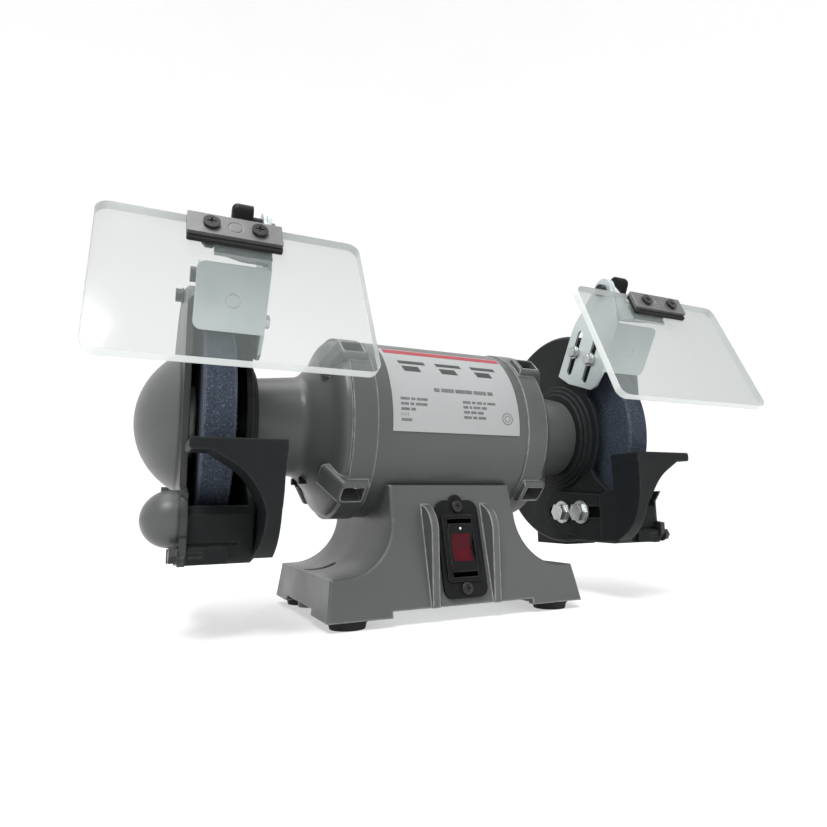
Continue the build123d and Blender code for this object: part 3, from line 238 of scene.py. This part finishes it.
def clear_sheet():
    """Clear plastic sheet: faintly grey through its faces, milky at its sawn edges."""
    material = surface(
        "clear_sheet", SHEET_FACE, SHEET_FACE, 0.10, blotch=8.0, grain_depth=0.004, spread=0.06
    )
    tree = material.node_tree
    tilt = math.radians(SHIELD_TILT_DEG)
    across = (0.0, -math.cos(tilt), math.sin(tilt))
    geometry = tree.nodes.new("ShaderNodeNewGeometry")
    normal = geometry.outputs["True Normal"]
    dot = calculate(tree, "ShaderNodeVectorMath", "DOT_PRODUCT", normal, across)
    size = calculate(tree, "ShaderNodeMath", "ABSOLUTE", dot.outputs["Value"])
    sawn = ramp(tree, size.outputs[0], SAWN_SPAN, FALL)
    slant = add_node(tree, "ShaderNodeLayerWeight", Blend=0.5)
    through = ramp(tree, slant.outputs["Facing"], SLANT_SPAN, SHEET_FACE_ALPHA)
    alpha = tree.nodes.new("ShaderNodeMix")
    tree.links.new(sawn, alpha.inputs[MIX_FACTOR])
    tree.links.new(through, alpha.inputs[VALUE_FIRST])
    alpha.inputs[VALUE_SECOND].default_value = SHEET_EDGE_ALPHA
    tree.links.new(alpha.outputs[0], tree.nodes["Principled BSDF"].inputs["Alpha"])
    return recolour(material, lambda tree, face: mix_colour(tree, sawn, face, SHEET_EDGE))


def darken_plate(tree, grey):
    """A darker colour on everything nearer the motor than the cover plate's outer face."""
    place = tree.nodes.new("ShaderNodeTexCoord")
    split = tree.nodes.new("ShaderNodeSeparateXYZ")
    tree.links.new(place.outputs["Object"], split.inputs["Vector"])
    reach = calculate(tree, "ShaderNodeMath", "ABSOLUTE", split.outputs["X"])
    on_plate = ramp(tree, reach.outputs[0], (COVER_FACE, COVER_FACE + COVER_BLEND), FALL)
    return mix_colour(tree, on_plate, grey, PLATE_GREY)


def cover_paint():
    """Grey domes on a darker plate."""
    # The edge colour on the cover is rubbed wear together with a painted highlight
    paint = surface(
        "cover_paint", **GREY_PAINT, edge_wear_and_highlight_colour=(0.30, 0.31, 0.30), edge_radius=0.0014,
        edge_wear_and_highlight_strength=0.45,
    )
    return recolour(paint, darken_plate)


# The edge colour in each finish lightens its sharp edges, partly as rubbed wear and partly as a painted
# highlight
FINISHES = {
    "grey_paint": dict(
        **GREY_PAINT, edge_wear_and_highlight_colour=(0.46, 0.47, 0.46), edge_radius=0.0016, edge_wear_and_highlight_strength=0.85,
    ),
    "charcoal_paint": dict(
        colour=(0.0055, 0.0072, 0.0075), accent=(0.009, 0.011, 0.0114), roughness=0.5, blotch=14.0,
        grain=600.0, grain_depth=0.16, edge_wear_and_highlight_colour=(0.07, 0.075, 0.075), edge_radius=0.0016,
        edge_wear_and_highlight_strength=0.5, specular=0.14,
    ),
    "blotter_paper": dict(
        colour=(0.5, 0.44, 0.34), accent=(0.42, 0.37, 0.3), roughness=0.9,
    ),
    "zinc_plate": dict(
        colour=(0.50, 0.545, 0.55), accent=(0.43, 0.475, 0.48), roughness=0.38, metallic=0.6,
        blotch=30.0, grain=350.0, grain_depth=0.02, edge_wear_and_highlight_colour=(0.8, 0.83, 0.84), edge_radius=0.0005,
    ),
    "zinc_bolt": dict(
        colour=(0.50, 0.52, 0.51), accent=(0.36, 0.38, 0.37), roughness=0.28, metallic=0.9,
        blotch=90.0, grain=500.0, grain_depth=0.02, edge_wear_and_highlight_colour=(0.75, 0.76, 0.75), edge_radius=0.0005,
    ),
    "bar_steel": dict(
        colour=(0.145, 0.148, 0.145), accent=(0.12, 0.123, 0.12), roughness=0.42, metallic=0.5,
        blotch=60.0, grain=900.0, grain_depth=0.03, edge_wear_and_highlight_colour=(0.6, 0.6, 0.6), edge_radius=0.0004,
    ),
    "black_screw": dict(
        colour=(0.010, 0.010, 0.011), accent=(0.018, 0.018, 0.019), roughness=0.33, metallic=0.2,
        blotch=120.0, edge_wear_and_highlight_colour=(0.10, 0.10, 0.10), edge_radius=0.0005, specular=0.4,
    ),
    "black_plastic": dict(
        colour=(0.0042, 0.0045, 0.0048), accent=(0.007, 0.0073, 0.0076), roughness=0.5, blotch=40.0,
        grain_depth=0.04, edge_wear_and_highlight_colour=(0.05, 0.052, 0.052), edge_radius=0.0007, specular=0.12,
    ),
    "switch_gloss": dict(
        colour=(0.003, 0.0032, 0.0035), accent=(0.005, 0.0053, 0.0056), roughness=0.25, blotch=50.0,
        grain_depth=0.01, edge_wear_and_highlight_colour=(0.12, 0.12, 0.12), edge_radius=0.0006, specular=0.15,
    ),
    "red_lens": dict(
        colour=(0.055, 0.001, 0.006), accent=(0.04, 0.0007, 0.004), roughness=0.22, blotch=90.0,
        grain_depth=0.01, specular=0.15,
    ),
    "rubber_black": dict(
        colour=(0.008, 0.008, 0.008), accent=(0.013, 0.013, 0.013), roughness=0.75,
        grain_depth=0.06, specular=0.3,
    ),
    "label_foil": dict(
        colour=(0.31, 0.32, 0.32), accent=(0.27, 0.28, 0.28), roughness=0.36, metallic=0.25,
        blotch=6.0, grain=2500.0, grain_depth=0.01, edge_radius=0.0002,
    ),
    "ground_steel": dict(
        colour=(0.5, 0.51, 0.52), accent=(0.42, 0.43, 0.44), roughness=0.25, metallic=0.95,
        blotch=80.0, grain_depth=0.01,
    ),
    "electrical_steel": dict(
        colour=(0.2, 0.2, 0.21), accent=(0.15, 0.15, 0.155), roughness=0.5, metallic=0.7, blotch=60.0,
    ),
    "copper_coil": dict(
        colour=(0.45, 0.17, 0.07), accent=(0.32, 0.11, 0.05), roughness=0.35, metallic=0.6,
        blotch=60.0, grain=1800.0, grain_depth=0.2,
    ),
    "capacitor_case": dict(
        colour=(0.02, 0.02, 0.022), accent=(0.03, 0.03, 0.032), roughness=0.35,
    ),
}


def dress_nodes():
    """Gives every CAD piece its finish, and shades it smooth except over sharp corners."""
    materials = {name: surface(name, **finish) for name, finish in FINISHES.items()}
    materials["abrasive"] = abrasive()
    materials["clear_shield"] = clear_sheet()
    cover_material = cover_paint()
    slots = {part["node"]: part["material_slot"] for part in frame["record"]["subparts"]}
    for name, node_object in nodes.items():
        mesh = node_object.data
        mesh.materials.clear()
        mesh.materials.append(cover_material if name in COVERS else materials[slots[name]])
        mesh.shade_smooth()
        mesh.set_sharp_from_angle(angle=math.radians(SHARP_DEG))


dress_nodes()


def mesh_object(name, points, faces, material, smooth):
    """An object made from points and faces, with one material."""
    mesh = bpy.data.meshes.new(name)
    mesh.from_pydata(points, [], faces)
    mesh.materials.append(material)
    if smooth:
        mesh.shade_smooth()
    made = bpy.data.objects.new(name, mesh)
    bpy.context.scene.collection.objects.link(made)
    return made


# Nameplate print: a stripe, heavy bars and rows of short bars, as thin curved patches.
# x and lengths are in millimetres, angles in degrees from +Y over the top.

PLATE_R = 67.5 * MM
PRINT_LIFT = 0.06 * MM
PRINT_R = PLATE_R + PRINT_LIFT
PATCH_STEP_DEG = 1.5
WORD_GAP = 1.1
RING_SIDES = 32

STRIPE_X = (-47.5, 51.5)
STRIPE_ANGLES = (125.0, 130.5)
BAR_STARTS = (-40.0, -10.0, 20.0)
BAR_X = (0.0, 21.0)
BAR_ANGLES = (138.5, 141.5)
BAR_SLANT = 1.0
LOW_BAR_X = (1.8, 15.0)
LOW_BAR_ANGLES = (143.5, 148.0)
LOW_BAR_SLANT = 1.6
TITLE_X = (-17.0, 34.0)
TITLE_ANGLE = 159.5
TITLE_HEIGHT = 2.6
TITLE_WORDS = (4.6, 10.5, 14.0, 11.0)
ROW_ANGLE = 167.0
ROW_PITCH = 3.2
ROW_HEIGHT = 1.7
EMBLEM_X = 42.0
EMBLEM_ANGLE = 177.0

# Each row: where it ends, and the lengths of its words
LEFT_START = -44.0
LEFT_ROWS = (
    (-20.5, (7.0, 3.2, 8.5)),
    (-22.0, (6.0, 3.0, 9.0)),
    (-32.0, (6.5, 3.5)),
    (-38.0, (0.5,)),
    (-34.0, (8.0,)),
)
RIGHT_START = 5.0
RIGHT_ROWS = (
    (40.0, (6.5, 3.0, 4.5, 2.2, 7.0)),
    (26.0, (4.2, 2.0, 6.0)),
    (24.0, (5.0, 4.4)),
    (26.0, (6.4, 3.4)),
    (8.0, (9.0,)),
)


def on_nameplate(piece):
    """Makes a printed piece ride with the base."""
    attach(piece, "base")


def print_patch(name, x_low, x_high, angle_low, angle_high, material, slant=0.0):
    """A thin curved patch on the nameplate, its lower end shifted sideways by slant."""
    steps = max(2, int((angle_high - angle_low) / PATCH_STEP_DEG))
    points = []
    for step in range(steps + 1):
        angle = math.radians(angle_low + (angle_high - angle_low) * step / steps)
        shift = slant * step / steps
        y, z = PRINT_R * math.cos(angle), AXIS_Z + PRINT_R * math.sin(angle)
        points += [((x_low + shift) * MM, y, z), ((x_high + shift) * MM, y, z)]
    faces = [(2 * k, 2 * k + 1, 2 * k + 3, 2 * k + 2) for k in range(steps)]
    on_nameplate(mesh_object(name, points, faces, material, smooth=True))


def print_words(name, x_start, x_end, angle, height, material, lengths):
    """A row of short bars like printed words, up to x_end."""
    x = x_start
    for count, length in enumerate(cycle(lengths)):
        if x + length > x_end:
            return
        print_patch(f"{name}_{count}", x, x + length, angle, angle + height, material)
        x += length + WORD_GAP


def print_ring(name, radius, width, material):
    """A small round emblem outline on the nameplate."""
    points = []
    for side in range(RING_SIDES):
        turn = 2 * math.pi * side / RING_SIDES
        for ring in (radius, radius - width):
            angle = math.radians(EMBLEM_ANGLE) + ring * math.sin(turn) * MM / PLATE_R
            x = (EMBLEM_X + ring * math.cos(turn)) * MM
            points.append((x, PRINT_R * math.cos(angle), AXIS_Z + PRINT_R * math.sin(angle)))
    faces = []
    for side in range(RING_SIDES):
        first, following = 2 * side, 2 * ((side + 1) % RING_SIDES)
        faces.append((first, first + 1, following + 1, following))
    on_nameplate(mesh_object(name, points, faces, material, smooth=False))


def print_ink(name, colour, accent, roughness, blotch):
    """A printed ink."""
    return surface(name, colour, accent, roughness, blotch=blotch, grain_depth=0.005)


def nameplate_print():
    """The generic print of the nameplate."""
    red = print_ink("print_red", (0.25, 0.016, 0.028), (0.22, 0.013, 0.024), 0.45, 40.0)
    black = print_ink("print_black", (0.025, 0.025, 0.027), (0.035, 0.035, 0.037), 0.5, 200.0)
    grey = print_ink("print_grey", (0.075, 0.078, 0.08), (0.12, 0.123, 0.125), 0.5, 300.0)
    print_patch("print_stripe", *STRIPE_X, *STRIPE_ANGLES, red)
    for number, start in enumerate(BAR_STARTS):
        bar = [start + x for x in BAR_X]
        print_patch(f"print_bar_{number}", *bar, *BAR_ANGLES, black, slant=BAR_SLANT)
        low_bar = [start + x for x in LOW_BAR_X]
        print_patch(f"print_bar_low_{number}", *low_bar, *LOW_BAR_ANGLES, black, slant=LOW_BAR_SLANT)
    print_words("print_title", *TITLE_X, TITLE_ANGLE, TITLE_HEIGHT, grey, TITLE_WORDS)
    for row, (left, right) in enumerate(zip(LEFT_ROWS, RIGHT_ROWS)):
        angle = ROW_ANGLE + ROW_PITCH * row
        for side, start, (x_end, lengths) in (("left", LEFT_START, left), ("right", RIGHT_START, right)):
            print_words(f"print_{side}_{row}", start, x_end, angle, ROW_HEIGHT, grey, lengths)
    print_ring("print_emblem", radius=4.6, width=0.7, material=grey)
    print_ring("print_emblem_inner", radius=2.6, width=0.6, material=grey)


nameplate_print()


# Painted highlight on the rocker: a pale dot standing for a glint, measured along its leaning face from the
# pivot

GLINT_UP = 13.0 * MM
GLINT_OUT = 9.0 * MM
GLINT_R = 0.9 * MM


def rocker_painted_glint():
    """A small raised pale dot on the rocker, above its lens: a painted highlight standing for a glint."""
    pivot = next(joint["pos_m"] for joint in frame["joints"] if joint["name"] == "rocker_tilt")
    y = pivot[1] + GLINT_UP * math.sin(FACE_LEAN) - GLINT_OUT * math.cos(FACE_LEAN)
    z = pivot[2] + GLINT_UP * math.cos(FACE_LEAN) + GLINT_OUT * math.sin(FACE_LEAN)
    bpy.ops.mesh.primitive_uv_sphere_add(segments=20, ring_count=10, radius=GLINT_R, location=(0.0, y, z))
    dot = bpy.context.object
    dot.name = "rocker_painted_glint"
    dot.data.shade_smooth()
    white = surface("painted_glint_white", (0.85, 0.85, 0.85), (0.8, 0.8, 0.8), 0.3, grain_depth=0.005)
    dot.data.materials.append(white)
    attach(dot, "rocker")


rocker_painted_glint()


# Stage, light and camera

PAPER_GLOW = 0.5
WORLD_LIGHT = 0.6
FLOOR_SIDES = 48
FLOOR_RADII = (0.02, 1.0, 2.6)
SWEEP_R = 0.9
SWEEP_STEPS = 8
WALL_TOP = 7.0


def backdrop_paper():
    """White paper, lit from within a little so that it stays even from floor to wall."""
    material = surface(
        "floor_paper", (0.50, 0.50, 0.50), (0.49, 0.49, 0.49), 0.9, blotch=2.0, grain_depth=0.01,
        specular=0.0,
    )
    shader = material.node_tree.nodes["Principled BSDF"]
    shader.inputs["Emission Color"].default_value = (1.0, 1.0, 1.0, 1.0)
    shader.inputs["Emission Strength"].default_value = PAPER_GLOW
    return material


def stage_floor():
    """A pale floor that sweeps up into a wall all round."""
    rings = [(radius, 0.0) for radius in FLOOR_RADII]
    for step in range(1, SWEEP_STEPS + 1):
        angle = math.radians(90 * step / SWEEP_STEPS)
        rings.append((FLOOR_RADII[-1] + SWEEP_R * math.sin(angle), SWEEP_R - SWEEP_R * math.cos(angle)))
    rings.append((FLOOR_RADII[-1] + SWEEP_R, WALL_TOP))
    points = []
    for radius, height in rings:
        for side in range(FLOOR_SIDES):
            turn = 2 * math.pi * side / FLOOR_SIDES
            points.append((radius * math.cos(turn), radius * math.sin(turn), FLOOR_Z + height))
    faces = [tuple(range(FLOOR_SIDES))]
    for ring in range(len(rings) - 1):
        inner, outer = ring * FLOOR_SIDES, (ring + 1) * FLOOR_SIDES
        for side in range(FLOOR_SIDES):
            following = (side + 1) % FLOOR_SIDES
            faces.append((inner + side, inner + following, outer + following, outer + side))
    mesh_object("floor", points, faces, backdrop_paper(), smooth=True)


def area_light(name, place, target, width, height, power):
    """A rectangular soft light aimed at a point."""
    data = bpy.data.lights.new(name, "AREA")
    data.shape = "RECTANGLE"
    data.size = width
    data.size_y = height
    data.energy = power
    lamp = bpy.data.objects.new(name, data)
    bpy.context.scene.collection.objects.link(lamp)
    lamp.location = place
    lamp.rotation_euler = (Vector(target) - Vector(place)).to_track_quat("-Z", "Y").to_euler()


def studio_light():
    """Broad key from the upper left and a soft top light."""
    area_light("key", place=(-0.75, -1.05, 1.8), target=(0.0, 0.0, 0.12), width=0.7, height=0.7, power=46.0)
    area_light("top", place=(-0.3, 0.2, 1.7), target=(0.0, 0.0, 0.1), width=1.3, height=1.0, power=14.0)
    world = bpy.data.worlds.new("studio")
    world.use_nodes = True
    background = world.node_tree.nodes["Background"]
    background.inputs["Color"].default_value = (1.0, 1.0, 1.0, 1.0)
    background.inputs["Strength"].default_value = WORLD_LIGHT
    bpy.context.scene.world = world


def tone():
    """Plain tones, so that the pale floor comes out white."""
    view = bpy.context.scene.view_settings
    view.view_transform = "Standard"
    view.look = "None"


def camera():
    """The camera, from its yaw, pitch and roll."""
    forward = Vector((math.sin(YAW) * math.cos(PITCH), math.cos(YAW) * math.cos(PITCH), math.sin(PITCH)))
    level = Vector((math.cos(YAW), -math.sin(YAW), 0.0))
    upright = level.cross(forward)
    right = math.cos(ROLL) * level + math.sin(ROLL) * upright
    up = -math.sin(ROLL) * level + math.cos(ROLL) * upright
    data = bpy.data.cameras.new("camera")
    data.lens = LENS_MM
    data.sensor_width = SENSOR_MM
    eye = bpy.data.objects.new("camera", data)
    bpy.context.scene.collection.objects.link(eye)
    turn = Matrix((right, up, -forward)).transposed()
    eye.matrix_world = Matrix.Translation(EYE) @ turn.to_4x4()
    bpy.context.scene.camera = eye


stage_floor()
studio_light()
camera()
tone()
